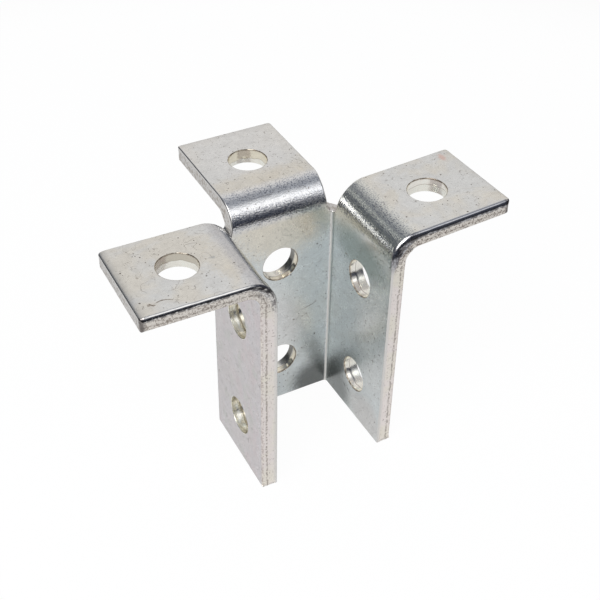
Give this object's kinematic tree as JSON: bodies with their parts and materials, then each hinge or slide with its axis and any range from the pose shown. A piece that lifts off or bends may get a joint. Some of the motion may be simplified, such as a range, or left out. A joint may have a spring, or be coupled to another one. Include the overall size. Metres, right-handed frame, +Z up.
{
  "type": "three-way wing connector",
  "caption": "Folded steel plate connector: an open channel that takes a square post, with a flat wing turned outward at the top of each wall and round bolt holes in walls and wings.",
  "frame": {"origin": "on the floor that the channel's lower end stands on, under the middle of the overall footprint: midway between the side wings' tips, and midway between the side walls' front edges and the back wing's tip", "axes": "+Z up along the channel, +X towards the wing on the right as seen from the channel's open side, +Y towards the back wing, so the channel opens towards -Y"},
  "size_m": [0.1376, 0.0878, 0.0984],
  "materials": {
    "zinc_plated_steel": "satin zinc plating, glossier on the bends, matt and pinkish on the sheared edges"
  },
  "bodies": {
    "root": {"wing_connector": "zinc_plated_steel"}
  },
  "joints": []
}
